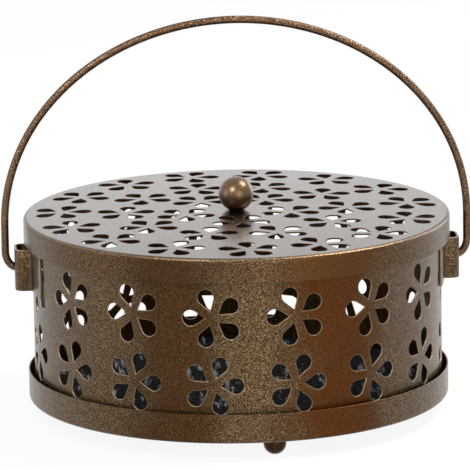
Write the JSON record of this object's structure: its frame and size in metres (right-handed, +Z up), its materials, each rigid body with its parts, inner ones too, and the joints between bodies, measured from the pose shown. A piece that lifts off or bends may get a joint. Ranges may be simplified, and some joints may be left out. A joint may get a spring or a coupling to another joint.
{
  "type": "mosquito coil holder",
  "caption": "Round pierced-metal box that burns a mosquito coil inside, with a lift-off lid, ball knob, ball feet and a swinging wire handle.",
  "frame": {"origin": "on the ground under the middle of the box", "axes": "+Z up; +X along the bail's pivot axis, through the two lugs; +Y to the back; the wall's lap seam is 10 degrees behind +X"},
  "size_m": [0.1658, 0.15, 0.1411],
  "materials": {
    "bronze_paint": "hammered antique bronze paint, satin, with gold flecks",
    "knob_paint": "smooth antique bronze paint, semi-gloss",
    "foot_paint": "dark bronze paint, satin",
    "zinc_steel": "zinc-plated steel",
    "glass_fibre": "woven glass-fibre mat, dark grey with pale bands"
  },
  "bodies": {
    "holder": {"base_tray": "bronze_paint", "side_wall": "bronze_paint", "foot_1": "foot_paint", "foot_2": "foot_paint", "foot_3": "foot_paint", "foot_screw_1": "zinc_steel", "foot_screw_2": "zinc_steel", "foot_screw_3": "zinc_steel", "lug_left": "bronze_paint", "lug_right": "bronze_paint"},
    "lid": {"lid_cap": "bronze_paint", "lid_knob": "knob_paint", "knob_washer": "zinc_steel", "knob_screw": "zinc_steel"},
    "bail": {"bail_handle": "bronze_paint"},
    "mat": {"coil_mat": "glass_fibre"}
  },
  "joints": [
    {"name": "lid_lift", "type": "slide", "parent": "holder", "child": "lid", "axis": [0, 0, 1], "range_m": [0, 0.016]},
    {"name": "bail_swing", "type": "hinge", "parent": "holder", "child": "bail", "pos_m": [0, 0, 0.0535], "axis": [1, 0, 0], "range_deg": [-115, 115]},
    {"name": "mat_lift", "type": "slide", "parent": "holder", "child": "mat", "axis": [0, 0, 1], "range_m": [0, 0.03]}
  ]
}
